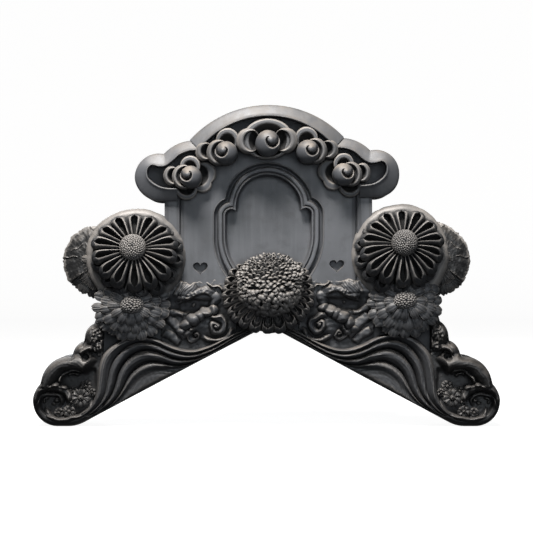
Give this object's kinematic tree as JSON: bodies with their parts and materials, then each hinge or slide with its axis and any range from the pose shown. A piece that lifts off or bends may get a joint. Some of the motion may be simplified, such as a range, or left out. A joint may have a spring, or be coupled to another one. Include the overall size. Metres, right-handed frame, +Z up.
{
  "type": "ridge end tile",
  "caption": "Relief-carved clay tile that closes the end of a tiled roof ridge: a saddle under a hooded panel, with chrysanthemums, clouds and water.",
  "frame": {"origin": "on the ground between the two feet, in the middle of the tile's whole depth", "axes": "+X along the tile's width, +Y out of its open back, +Z up; the relief faces -Y"},
  "size_m": [0.682, 0.1714, 0.467],
  "materials": {
    "smoked_clay": "smoke-fired roof clay, dark blue-grey with a satin sheen, its edges worn warm grey"
  },
  "bodies": {
    "root": {"roof_end_tile": "smoked_clay"}
  },
  "joints": []
}
